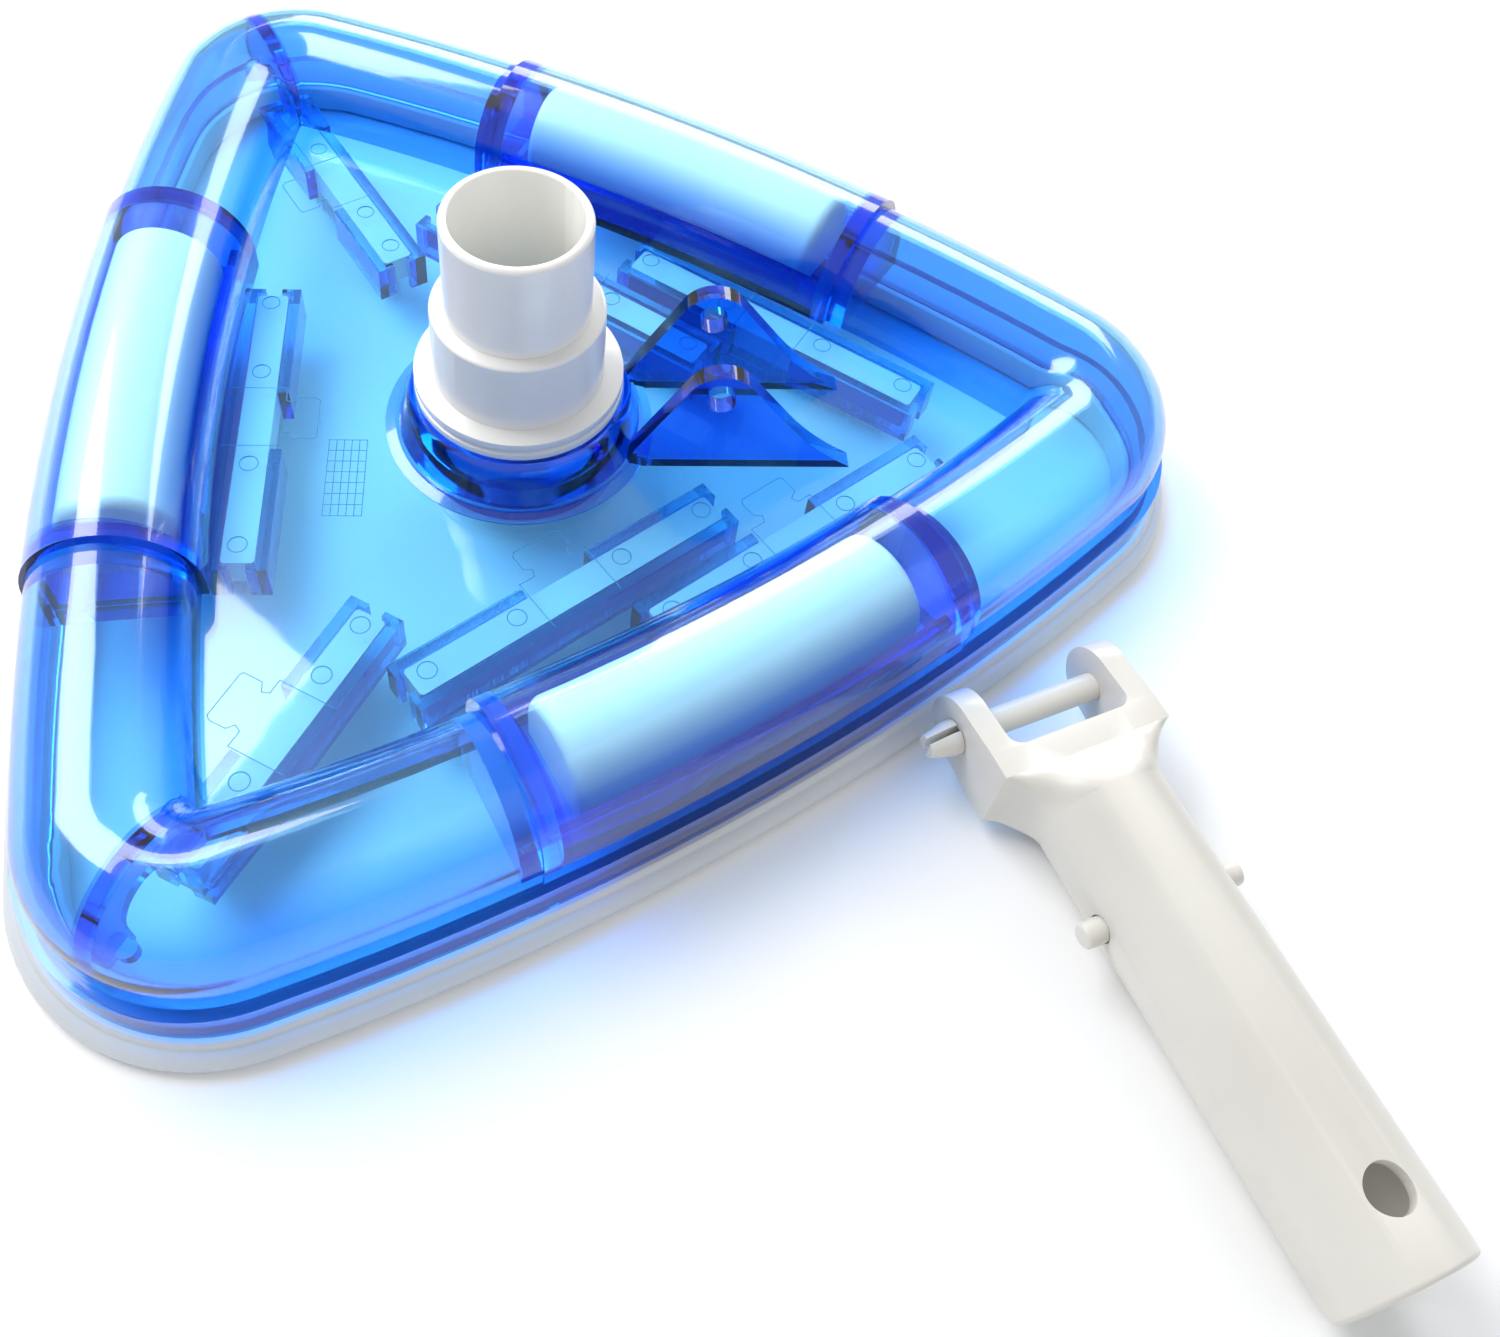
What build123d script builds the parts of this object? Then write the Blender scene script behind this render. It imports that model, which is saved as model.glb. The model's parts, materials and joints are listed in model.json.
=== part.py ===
from build123d import *
import math
import os

# Weighted triangular pool vacuum head, millimetres, +Z up.
# The origin is on the hose axis at floor level. +X points to the nose corner.

# Outline of the shell: three round corners joined by bowed sides
CORNER_REACH = 117.8     # hose axis to the centre of each corner arc
CORNER_R = 37.6          # radius of the corner arcs at the flange edge
SIDE_REACH = 105.8       # hose axis to the middle of each side

# Heights
PLATE_TOP = 20.0
PLATE_T = 2.5
PLATE_LAP = 0.5          # how far the plate runs into the rim's inner foot
SINK = 1.0               # how far collar, ears and channels start inside the plate
CREST_Z = 40.5           # top of the hollow rim
CHAMBER_CREST_Z = 43.0   # top of the weight chambers
LEDGE_Z = 16.0           # ledge where the rim meets its flange
FLANGE_LOW_Z = 7.2       # lower edge of the visible flange
TONGUE_LOW_Z = 3.0       # lower edge of the tongue that the bumper grips

# Rim section, measured inward from the flange edge
RIM_W = 37.0
LEDGE_W = 2.5
WALL = 2.6
FLANGE_T = 5.1
TONGUE_SET = 1.6
RIM_R = (RIM_W - LEDGE_W) / 2
RIM_MID = (RIM_W + LEDGE_W) / 2

# Weight chambers
CHAMBER_OUT = 1.9
CHAMBER_IN = 38.7
CHAMBER_WALL = 2.4
CHAMBER_R = (CHAMBER_IN - CHAMBER_OUT) / 2
CHAMBER_MID = (CHAMBER_IN + CHAMBER_OUT) / 2
CHAMBER_HALF = 51.0      # half length over the raised end walls
END_WALL_T = 4.3         # raised end wall
BULKHEAD_T = 4.0         # rim-height wall outside each raised end wall

# Weight bars and the trays that hold them
WEIGHT_R = 12.5
WEIGHT_LOW_Z = 19.6
WEIGHT_SPRING_Z = 27.0
WEIGHT_HALF = 41.0
WEIGHT_ROUND = 2.5
TRAY_FLOOR_T = 2.0
TRAY_WALL = 2.0
TRAY_HALF_W = 15.0
TRAY_TOP_Z = 28.0
TRAY_CLEAR = 0.2

# Brush channels under the plate
CHANNEL_HALF = 42.3
RADIAL_HALF = 34.0
CHANNEL_HALF_W = 6.6
CHANNEL_WALL = 2.6
CHANNEL_LOW_Z = 8.1
CHANNEL_BREAK = 8.5      # half of the break in the wall that faces the hose
LIP_T = 1.4
LIP_GAP = 2.0            # half of the gap between the two lips at each end
MARK_R = 2.1
MARK_DEPTH = 0.25
MARK_NEAR = 13.9
MARK_FAR = 36.4
RADIAL_MARK_FAR = 27.9
SIDE_CHANNEL_X = 60.7
INNER_CHANNEL = (11.15, 47.5)
OUTER_CHANNEL = (62.9, 32.55)
CHANNEL_TURN = 35.0
RADIAL_REACH = 94.0

# Brush strips
BACK_HALF_W = 3.7
BACK_LOW_Z = 10.4
BACK_TOP_Z = 17.3
BACK_CHAMFER = 0.6
BACK_END = 2.1           # the strip stops this far inside the channel's end
BRISTLE_HALF_W = 3.1
BRISTLE_END = 4.2

# Corner ribs and the tongues that carry the outer ends of the radial brushes
RIB_T = 3.6
RIB_INNER_R = 6.5
TONGUE_HALF_W = 7.6
TONGUE_BACK = 2.0        # how far the tongue starts behind the corner's centre
TONGUE_REACH = 129.6
BOSS_R = 2.2
BOSS_PAST_ARCH = 3.0     # the boss stands this far past the rib's arch, against its flank
BOSS_OFF_RIB = 0.8

# Hose collar and swivel
COLLAR_FOOT_R = 31.0
COLLAR_RING_R = 28.6
COLLAR_TOP_R = 24.8
COLLAR_TOP_Z = 32.5
COLLAR_LOW_Z = 12.5
COLLAR_SKIRT_R = 22.5
COLLAR_INNER_R = 16.0    # inside the bore that is cut later
COLLAR_FOOT_Z = 20.3     # thin edge of the sloping foot
COLLAR_RING_LOW_Z = 21.1
COLLAR_RING_TOP_Z = 21.9
COLLAR_RING_STEP = 0.8
COLLAR_CHAMFER = 1.0
SPIGOT_R = 19.05         # 38.1 mm hose cuff
SPIGOT_TOP_R = 15.875    # 31.75 mm hose cuff
SWIVEL_CLEAR = 0.07
SPIGOT_TOP_Z = 81.4
SPIGOT_STEP_Z = 57.0
FLANGE_TOP_Z = 38.2
FLANGE_UNDER_Z = 33.1
FLANGE_R = 23.5
FLANGE_UPPER_R = 23.4
FLANGE_GROOVE_R = 22.6   # groove between the flange's two lips
GROOVE_TOP_Z = 36.1
GROOVE_LOW_Z = 35.3
GROOVE_SLOPE = 0.2
FLANGE_CHAMFER = 0.4
BORE_R = 13.95
LOWER_BORE_R = 16.6
BORE_STEP_Z = 39.0
SPIGOT_LOW_Z = 8.5
SPIGOT_RIM_ROUND = 1.2
BORE_RIM_ROUND = 0.5
STEP_ROUND = 0.8
CLIP_LOW_Z = 10.0
CLIP_TOP_Z = 12.2
CLIP_GROOVE_R = 17.5
CLIP_R = 22.0
CLIP_CLEAR = 0.1
CLIP_CHAMFER = 0.3
WASHER_R = 22.8
WASHER_CLEAR = 0.35
WASHER_GAP = 0.05        # above the collar
WASHER_T = 0.45

# Handle ears
EAR_X = 44.3
EAR_Z = 42.0
EAR_R = 7.9
EAR_IN = 9.9
EAR_OUT = 14.0
EAR_LEFT_X = 24.5
EAR_LEFT_Z = 23.0
EAR_RIGHT_X = 76.2
EAR_TOE_Z = 20.3
EAR_TANGENT_DEG = 38.0
EAR_SLOPE_X = 60.5
PIVOT_HOLE_R = 3.12
PIVOT_PIN_R = 3.05

# Bumper: distances out from the flange edge (BUMPER_IN and BUMPER_FOOT_IN run inward)
BUMPER_FIT = 0.1
BUMPER_IN = 7.0
BUMPER_FOOT_IN = 5.6
BUMPER_IN_LOW_Z = 1.2
BUMPER_IN_TOP_Z = 8.6
BUMPER_FOOT = (2.8, 0.0)
BUMPER_HEEL = (4.0, 0.4)
BUMPER_OUT = (4.7, 1.8)
BUMPER_SHOULDER = (4.0, 4.4)
BUMPER_WAIST = (1.8, 5.7)
BUMPER_LIP = (1.6, 6.6)
BUMPER_LIP_TOP = 0.9

# Handle, lying on the floor in front of the nose corner
HANDLE_X = 110.5
HANDLE_Y = -75.0
HANDLE_TURN = -69.5
TUBE_R = 14.3
TUBE_BORE_R = 11.6
TUBE_START = 26.0
TUBE_END = 124.0
TUBE_RIM_ROUND = 1.2
BORE_START = 21.0
FORK_HALF_W = 19.8
FORK_GAP_HALF = 14.4
FORK_HALF_H = 10.0
FORK_TIP_R = 9.0
CROTCH_X = 10.4
SHOULDER_X = 16.0
NECK_EDGE_R = 0.8
NECK_STEPS = [           # distance, half width, half height and corner radius
    (19.0, 16.2, 11.3, 4.0),
    (22.5, 14.6, 13.1, 9.5),
]
NECK_CORNER_DEG = 60.0
GAP_LENGTH = 60.0
GAP_CORNER_R = 3.0
PIN_HEAD_R = 5.0
PIN_HEAD_T = 2.4
PIN_BARB_LEN = 7.0
PIN_END_GAP = 0.15
PIN_HEAD_CHAMFER = 0.5
PIN_BARB = 0.8           # how far the barb stands out past the pin
PIN_BARB_EDGE = 1.6
PIN_TIP_R = 2.55
PIN_SLOT_W = 1.5
BUTTON_X = 48.0
BUTTON_R = 2.7
BUTTON_HOLE_R = 3.0
BUTTON_TIP = 18.7
BUTTON_ROUND = 0.8
LOCK_HOLE_X = 109.0
LOCK_HOLE_R = 4.65

# Spring clip inside the handle tube
BOW_X = 28.0
BOW_R = 4.4
STRIP_T = 1.1
STRIP_HALF_H = 3.4
LEG_START_X = 28.4
LEG_END_X = 51.0
LEG_SPREAD = 9.4
BUTTON_BASE = 9.5

os.makedirs("parts", exist_ok=True)

# Side arcs: each side is an arc whose centre is beyond the opposite corner
SIDE_FLAT = SIDE_REACH - CORNER_R
SIDE_BACK = (SIDE_FLAT**2 - CORNER_REACH**2) / (CORNER_REACH - 2 * SIDE_FLAT)
SIDE_R = SIDE_REACH + SIDE_BACK
SIDE_HALF_DEG = math.degrees(
    math.atan2(
        CORNER_REACH * math.sin(math.radians(60)),
        SIDE_BACK + CORNER_REACH * math.cos(math.radians(60)),
    )
)
CORNER_SWEEP = 120 - 2 * SIDE_HALF_DEG
SIDES = {"back": 60.0, "left": 180.0, "front": 300.0}
CORNERS = [0.0, 120.0, 240.0]


def side_centre(normal_deg):
    a = math.radians(normal_deg)
    return (-SIDE_BACK * math.cos(a), -SIDE_BACK * math.sin(a))


def corner_centre(corner_deg):
    a = math.radians(corner_deg)
    return (CORNER_REACH * math.cos(a), CORNER_REACH * math.sin(a))


def section_plane(centre, angle_deg):
    """Vertical plane through a vertical axis at centre; local x is the radius, local y is height."""
    a = math.radians(angle_deg)
    return Plane(
        origin=(centre[0], centre[1], 0),
        x_dir=(math.cos(a), math.sin(a), 0),
        z_dir=(math.sin(a), -math.cos(a), 0),
    )


def side_degrees(length):
    """Angle of a length along the middle line of a side's rim."""
    return math.degrees(length / (SIDE_R - RIM_MID))


def upright(centre):
    return Axis((centre[0], centre[1], 0), (0, 0, 1))


def rim_section(plane, radius):
    """Hollow rim: flange, ledge, arch and inner foot, at distance radius to the flange edge."""
    spring_z = CREST_Z - RIM_R
    mid = radius - RIM_MID
    inner_r = RIM_R - WALL
    with BuildSketch(plane) as section:
        with BuildLine():
            Polyline(
                (mid + inner_r, spring_z),
                (mid + inner_r, TONGUE_LOW_Z),
                (radius - TONGUE_SET, TONGUE_LOW_Z),
                (radius - TONGUE_SET, FLANGE_LOW_Z),
                (radius, FLANGE_LOW_Z),
                (radius, LEDGE_Z),
                (mid + RIM_R, LEDGE_Z),
                (mid + RIM_R, spring_z),
            )
            ThreePointArc((mid + RIM_R, spring_z), (mid, CREST_Z), (mid - RIM_R, spring_z))
            Polyline(
                (mid - RIM_R, spring_z),
                (mid - RIM_R, PLATE_TOP - PLATE_T),
                (mid - inner_r, PLATE_TOP - PLATE_T),
                (mid - inner_r, spring_z),
            )
            ThreePointArc((mid - inner_r, spring_z), (mid, CREST_Z - WALL), (mid + inner_r, spring_z))
        make_face()
    return section.sketch


def chamber_section(plane, radius):
    """Raised weight chamber, open below."""
    spring_z = CHAMBER_CREST_Z - CHAMBER_R
    mid = radius - CHAMBER_MID
    inner_r = CHAMBER_R - CHAMBER_WALL
    with BuildSketch(plane) as section:
        with BuildLine():
            Polyline(
                (mid + inner_r, spring_z),
                (mid + inner_r, PLATE_TOP + TRAY_CLEAR),
                (radius - FLANGE_T, PLATE_TOP + TRAY_CLEAR),
                (radius - FLANGE_T, TONGUE_LOW_Z),
                (radius - TONGUE_SET, TONGUE_LOW_Z),
                (radius - TONGUE_SET, FLANGE_LOW_Z),
                (radius, FLANGE_LOW_Z),
                (radius, LEDGE_Z),
                (mid + CHAMBER_R, LEDGE_Z),
                (mid + CHAMBER_R, spring_z),
            )
            ThreePointArc(
                (mid + CHAMBER_R, spring_z), (mid, CHAMBER_CREST_Z), (mid - CHAMBER_R, spring_z)
            )
            Polyline(
                (mid - CHAMBER_R, spring_z),
                (mid - CHAMBER_R, PLATE_TOP - PLATE_T),
                (mid - inner_r, PLATE_TOP - PLATE_T),
                (mid - inner_r, spring_z),
            )
            ThreePointArc(
                (mid - inner_r, spring_z), (mid, CHAMBER_CREST_Z - CHAMBER_WALL), (mid + inner_r, spring_z)
            )
        make_face()
    return section.sketch


def filled_section(plane, radius, half_w, mid_in, crest_z):
    """Solid wall across the rim, from the plate's underside to the crest."""
    mid = radius - mid_in
    spring_z = crest_z - half_w
    with BuildSketch(plane) as section:
        with BuildLine():
            Polyline(
                (mid - half_w, spring_z),
                (mid - half_w, PLATE_TOP - PLATE_T),
                (radius - FLANGE_T, PLATE_TOP - PLATE_T),
                (radius - FLANGE_T, TONGUE_LOW_Z),
                (radius - TONGUE_SET, TONGUE_LOW_Z),
                (radius - TONGUE_SET, FLANGE_LOW_Z),
                (radius, FLANGE_LOW_Z),
                (radius, LEDGE_Z),
                (mid + half_w, LEDGE_Z),
                (mid + half_w, spring_z),
            )
            ThreePointArc((mid + half_w, spring_z), (mid, crest_z), (mid - half_w, spring_z))
        make_face()
    return section.sketch


def outline_face(plane, inset):
    """The shell's outline moved inward by inset."""
    with BuildSketch(plane) as face:
        with BuildLine():
            for corner in CORNERS:
                CenterArc(
                    corner_centre(corner), CORNER_R - inset, corner - CORNER_SWEEP / 2, CORNER_SWEEP
                )
                normal = corner + 60
                CenterArc(
                    side_centre(normal), SIDE_R - inset, normal - SIDE_HALF_DEG, 2 * SIDE_HALF_DEG
                )
        make_face()
    return face.sketch


def out_from(radius, point):
    """A point of the bumper's outer side: its distance out from the flange edge, and its height."""
    return (radius + point[0], point[1])


def channel_plane(x, y, turn_deg, z):
    a = math.radians(turn_deg)
    return Plane(origin=(x, y, z), x_dir=(math.cos(a), math.sin(a), 0), z_dir=(0, 0, 1))


# Each channel: node name, centre, direction and half length. Local +y faces the hose.
CHANNELS = [
    ("left", (-SIDE_CHANNEL_X, 0.0), -90.0, CHANNEL_HALF),
    ("front_inner", (INNER_CHANNEL[0], -INNER_CHANNEL[1]), CHANNEL_TURN, CHANNEL_HALF),
    ("front_outer", (OUTER_CHANNEL[0], -OUTER_CHANNEL[1]), CHANNEL_TURN, CHANNEL_HALF),
    ("back_inner", INNER_CHANNEL, 180.0 - CHANNEL_TURN, CHANNEL_HALF),
    ("back_outer", OUTER_CHANNEL, 180.0 - CHANNEL_TURN, CHANNEL_HALF),
    ("front_corner", None, 240.0, RADIAL_HALF),
    ("back_corner", None, 120.0, RADIAL_HALF),
]


def channel_place(channel):
    """Centre, direction, half length and the side of the broken wall (+1 is local +y)."""
    centre, turn, half = channel[1:]
    if centre is None:
        a = math.radians(turn)
        centre = (RADIAL_REACH * math.cos(a), RADIAL_REACH * math.sin(a))
        side = 1 if turn > 180 else -1
        return centre, turn, half, -side
    return centre, turn, half, 1


def channel_walls(plane, half, side):
    """Two walls with inward lips at both ends; one wall is broken in the middle."""
    wall_y = CHANNEL_HALF_W - CHANNEL_WALL / 2
    piece = half - CHANNEL_BREAK
    lip = CHANNEL_HALF_W - LIP_GAP
    with BuildSketch(plane) as walls:
        with Locations((0, -side * wall_y)):
            Rectangle(2 * half, CHANNEL_WALL)
        with Locations(
            (CHANNEL_BREAK + piece / 2, side * wall_y), (-CHANNEL_BREAK - piece / 2, side * wall_y)
        ):
            Rectangle(piece, CHANNEL_WALL)
        with Locations(
            (half - LIP_T / 2, LIP_GAP + lip / 2),
            (half - LIP_T / 2, -LIP_GAP - lip / 2),
            (-half + LIP_T / 2, LIP_GAP + lip / 2),
            (-half + LIP_T / 2, -LIP_GAP - lip / 2),
        ):
            Rectangle(LIP_T, lip)
    return walls.sketch


# Shell: rim, chambers, plate, collar, ears, channels and corner ribs in one moulding
with BuildPart() as shell:
    for corner in CORNERS:
        centre = corner_centre(corner)
        start = corner - CORNER_SWEEP / 2
        revolve(
            rim_section(section_plane(centre, start), CORNER_R),
            axis=upright(centre),
            revolution_arc=CORNER_SWEEP,
        )
    for normal in SIDES.values():
        centre = side_centre(normal)
        raised = side_degrees(CHAMBER_HALF)
        wall = side_degrees(END_WALL_T)
        bulkhead = side_degrees(BULKHEAD_T)
        plain = SIDE_HALF_DEG - raised
        for start in (-SIDE_HALF_DEG, raised):
            revolve(
                rim_section(section_plane(centre, normal + start), SIDE_R),
                axis=upright(centre),
                revolution_arc=plain,
            )
        revolve(
            chamber_section(section_plane(centre, normal - raised), SIDE_R),
            axis=upright(centre),
            revolution_arc=2 * raised,
        )
        for start in (-raised, raised - wall):
            revolve(
                filled_section(
                    section_plane(centre, normal + start), SIDE_R, CHAMBER_R, CHAMBER_MID, CHAMBER_CREST_Z
                ),
                axis=upright(centre),
                revolution_arc=wall,
            )
        for start in (-raised - bulkhead, raised):
            revolve(
                filled_section(section_plane(centre, normal + start), SIDE_R, RIM_R, RIM_MID, CREST_Z),
                axis=upright(centre),
                revolution_arc=bulkhead,
            )
    extrude(outline_face(Plane.XY.offset(PLATE_TOP - PLATE_T), RIM_W - PLATE_LAP), amount=PLATE_T)

    # corner ribs, each with the tongue that carries the end of a radial brush
    for corner in CORNERS[1:]:
        a = math.radians(corner)
        rib_plane = section_plane((0, 0), corner)
        mid = CORNER_REACH + CORNER_R - RIM_MID
        spring_z = CREST_Z - RIM_R
        web_r = RIM_R - WALL / 2
        with BuildSketch(rib_plane) as rib:
            with BuildLine():
                Polyline(
                    (mid + RIB_INNER_R, spring_z),
                    (mid + RIB_INNER_R, PLATE_TOP - PLATE_T),
                    (mid + web_r, PLATE_TOP - PLATE_T),
                    (mid + web_r, spring_z),
                )
                ThreePointArc((mid + web_r, spring_z), (mid, spring_z + web_r), (mid - web_r, spring_z))
                Polyline(
                    (mid - web_r, spring_z),
                    (mid - web_r, PLATE_TOP - PLATE_T),
                    (mid - RIB_INNER_R, PLATE_TOP - PLATE_T),
                    (mid - RIB_INNER_R, spring_z),
                )
                ThreePointArc(
                    (mid - RIB_INNER_R, spring_z), (mid, spring_z + RIB_INNER_R), (mid + RIB_INNER_R, spring_z)
                )
            make_face()
        extrude(rib.sketch, amount=RIB_T / 2, both=True)
        tongue_start = CORNER_REACH - TONGUE_BACK
        tongue_len = TONGUE_REACH - tongue_start
        with BuildSketch(channel_plane(0, 0, corner, PLATE_TOP - PLATE_T)) as tongue:
            with Locations((tongue_start + tongue_len / 2, 0)):
                Rectangle(tongue_len, 2 * TONGUE_HALF_W)
        extrude(tongue.sketch, amount=PLATE_T)
        with BuildSketch(channel_plane(0, 0, corner, PLATE_TOP - PLATE_T)) as boss:
            with Locations((mid + RIB_INNER_R + BOSS_PAST_ARCH, RIB_T / 2 + BOSS_OFF_RIB)):
                Circle(BOSS_R)
        extrude(boss.sketch, amount=spring_z - PLATE_TOP)

    # brush channels
    for channel in CHANNELS:
        centre, turn, half, side = channel_place(channel)
        plane = channel_plane(centre[0], centre[1], turn, CHANNEL_LOW_Z)
        extrude(channel_walls(plane, half, side), amount=PLATE_TOP - SINK - CHANNEL_LOW_Z)

    # hose collar
    with BuildSketch(Plane.XZ) as collar:
        with BuildLine():
            Polyline(
                (COLLAR_INNER_R, COLLAR_LOW_Z),
                (COLLAR_SKIRT_R, COLLAR_LOW_Z),
                (COLLAR_SKIRT_R, PLATE_TOP - SINK),
                (COLLAR_FOOT_R, PLATE_TOP - SINK),
                (COLLAR_FOOT_R, COLLAR_FOOT_Z),
                (COLLAR_RING_R, COLLAR_RING_LOW_Z),
                (COLLAR_RING_R, COLLAR_RING_TOP_Z),
                (COLLAR_RING_R - COLLAR_RING_STEP, COLLAR_RING_TOP_Z),
                (COLLAR_TOP_R, COLLAR_TOP_Z - COLLAR_CHAMFER),
                (COLLAR_TOP_R - COLLAR_CHAMFER, COLLAR_TOP_Z),
                (COLLAR_INNER_R, COLLAR_TOP_Z),
                close=True,
            )
        make_face()
    revolve(collar.sketch, axis=Axis.Z)

    # handle ears
    reach = math.hypot(EAR_X - EAR_LEFT_X, EAR_Z - EAR_LEFT_Z)
    rise = math.atan2(EAR_Z - EAR_LEFT_Z, EAR_X - EAR_LEFT_X) + math.asin(EAR_R / reach)
    left_len = math.sqrt(reach**2 - EAR_R**2)
    left_tangent = (EAR_LEFT_X + left_len * math.cos(rise), EAR_LEFT_Z + left_len * math.sin(rise))
    tangent = math.radians(EAR_TANGENT_DEG)
    right_tangent = (EAR_X + EAR_R * math.cos(tangent), EAR_Z + EAR_R * math.sin(tangent))
    slope_drop = (EAR_SLOPE_X - right_tangent[0]) / math.tan(tangent)
    slope_end = (EAR_SLOPE_X, right_tangent[1] - slope_drop)
    foot_z = PLATE_TOP - SINK
    for near_y in (-EAR_OUT, EAR_IN):
        with BuildSketch(Plane.XZ.offset(-near_y)) as ear:
            with BuildLine():
                Polyline((EAR_RIGHT_X, foot_z), (EAR_LEFT_X, foot_z), (EAR_LEFT_X, EAR_LEFT_Z), left_tangent)
                ThreePointArc(left_tangent, (EAR_X, EAR_Z + EAR_R), right_tangent)
                Line(right_tangent, slope_end)
                TangentArc(
                    slope_end,
                    (EAR_RIGHT_X, EAR_TOE_Z),
                    tangent=(math.sin(tangent), -math.cos(tangent)),
                )
                Line((EAR_RIGHT_X, EAR_TOE_Z), (EAR_RIGHT_X, foot_z))
            make_face()
        extrude(ear.sketch, amount=-(EAR_OUT - EAR_IN))

    # bore for the swivel, pivot holes and the round marks on the plate
    with BuildSketch(Plane.XY.offset(COLLAR_LOW_Z - 1.0)) as swivel_bore:
        Circle(SPIGOT_R + SWIVEL_CLEAR)
    extrude(swivel_bore.sketch, amount=COLLAR_TOP_Z - COLLAR_LOW_Z + 2.0, mode=Mode.SUBTRACT)
    with BuildSketch(Plane.XZ) as pivot_hole:
        with Locations((EAR_X, EAR_Z)):
            Circle(PIVOT_HOLE_R)
    extrude(pivot_hole.sketch, amount=EAR_OUT + 1.0, both=True, mode=Mode.SUBTRACT)
    for channel in CHANNELS:
        centre, turn, half = channel_place(channel)[:3]
        far = MARK_FAR if half > RADIAL_HALF else RADIAL_MARK_FAR
        spots = [-far, -MARK_NEAR, MARK_NEAR]
        if half > RADIAL_HALF:
            spots.append(far)
        plane = channel_plane(centre[0], centre[1], turn, PLATE_TOP - MARK_DEPTH)
        with BuildSketch(plane) as marks:
            with Locations(*[(spot, 0) for spot in spots]):
                Circle(MARK_R)
        extrude(marks.sketch, amount=1.0, mode=Mode.SUBTRACT)
shell.part.label = "shell"
export_step(shell.part, "parts/shell.step")

# Bumper: soft skirt that grips the tongue all round
with BuildPart() as bumper:
    arcs = [(corner_centre(c), CORNER_R, c - CORNER_SWEEP / 2, CORNER_SWEEP) for c in CORNERS]
    arcs += [(side_centre(n), SIDE_R, n - SIDE_HALF_DEG, 2 * SIDE_HALF_DEG) for n in SIDES.values()]
    for centre, radius, start, sweep_deg in arcs:
        with BuildSketch(section_plane(centre, start)) as skirt:
            with BuildLine():
                Polyline(
                    out_from(radius, BUMPER_OUT),
                    out_from(radius, BUMPER_HEEL),
                    out_from(radius, BUMPER_FOOT),
                    (radius - BUMPER_FOOT_IN, 0.0),
                    (radius - BUMPER_IN, BUMPER_IN_LOW_Z),
                    (radius - BUMPER_IN, BUMPER_IN_TOP_Z),
                    (radius - FLANGE_T - BUMPER_FIT, BUMPER_IN_TOP_Z),
                    (radius - FLANGE_T - BUMPER_FIT, TONGUE_LOW_Z - BUMPER_FIT),
                    (radius - TONGUE_SET + BUMPER_FIT, TONGUE_LOW_Z - BUMPER_FIT),
                    (radius - TONGUE_SET + BUMPER_FIT, FLANGE_LOW_Z - BUMPER_FIT),
                    (radius + BUMPER_LIP_TOP, FLANGE_LOW_Z - BUMPER_FIT),
                    out_from(radius, BUMPER_LIP),
                    out_from(radius, BUMPER_WAIST),
                )
                ThreePointArc(
                    out_from(radius, BUMPER_WAIST),
                    out_from(radius, BUMPER_SHOULDER),
                    out_from(radius, BUMPER_OUT),
                )
            make_face()
        revolve(skirt.sketch, axis=upright(centre), revolution_arc=sweep_deg)
bumper.part.label = "bumper"
export_step(bumper.part, "parts/bumper.step")

# Weight bars and the trays that close their chambers from below
for side_name, normal in SIDES.items():
    centre = side_centre(normal)
    mid = SIDE_R - CHAMBER_MID
    half_deg = side_degrees(WEIGHT_HALF)
    with BuildPart() as weight:
        with BuildSketch(section_plane(centre, normal - half_deg)) as bar:
            with BuildLine():
                Polyline(
                    (mid - WEIGHT_R, WEIGHT_SPRING_Z),
                    (mid - WEIGHT_R, WEIGHT_LOW_Z),
                    (mid + WEIGHT_R, WEIGHT_LOW_Z),
                    (mid + WEIGHT_R, WEIGHT_SPRING_Z),
                )
                ThreePointArc(
                    (mid + WEIGHT_R, WEIGHT_SPRING_Z),
                    (mid, WEIGHT_SPRING_Z + WEIGHT_R),
                    (mid - WEIGHT_R, WEIGHT_SPRING_Z),
                )
            make_face()
        revolve(bar.sketch, axis=upright(centre), revolution_arc=2 * half_deg)
        ends = weight.part.faces().filter_by(GeomType.PLANE).sort_by(Axis.Z)[1:]
        fillet([edge for face in ends[:2] for edge in face.edges()], WEIGHT_ROUND)
    weight.part.label = "weight_" + side_name
    export_step(weight.part, "parts/weight_" + side_name + ".step")

    tray_deg = side_degrees(CHAMBER_HALF - END_WALL_T - TRAY_CLEAR)
    with BuildPart() as tray:
        low_z = PLATE_TOP - PLATE_T
        wall_h = TRAY_TOP_Z - low_z
        with BuildSketch(section_plane(centre, normal - tray_deg)) as trough:
            with Locations((mid, low_z + TRAY_FLOOR_T / 2)):
                Rectangle(2 * TRAY_HALF_W, TRAY_FLOOR_T)
            for wall_x in (TRAY_WALL / 2 - TRAY_HALF_W, TRAY_HALF_W - TRAY_WALL / 2):
                with Locations((mid + wall_x, low_z + wall_h / 2)):
                    Rectangle(TRAY_WALL, wall_h)
        revolve(trough.sketch, axis=upright(centre), revolution_arc=2 * tray_deg)
    tray.part.label = "weight_tray_" + side_name
    export_step(tray.part, "parts/weight_tray_" + side_name + ".step")

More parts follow.
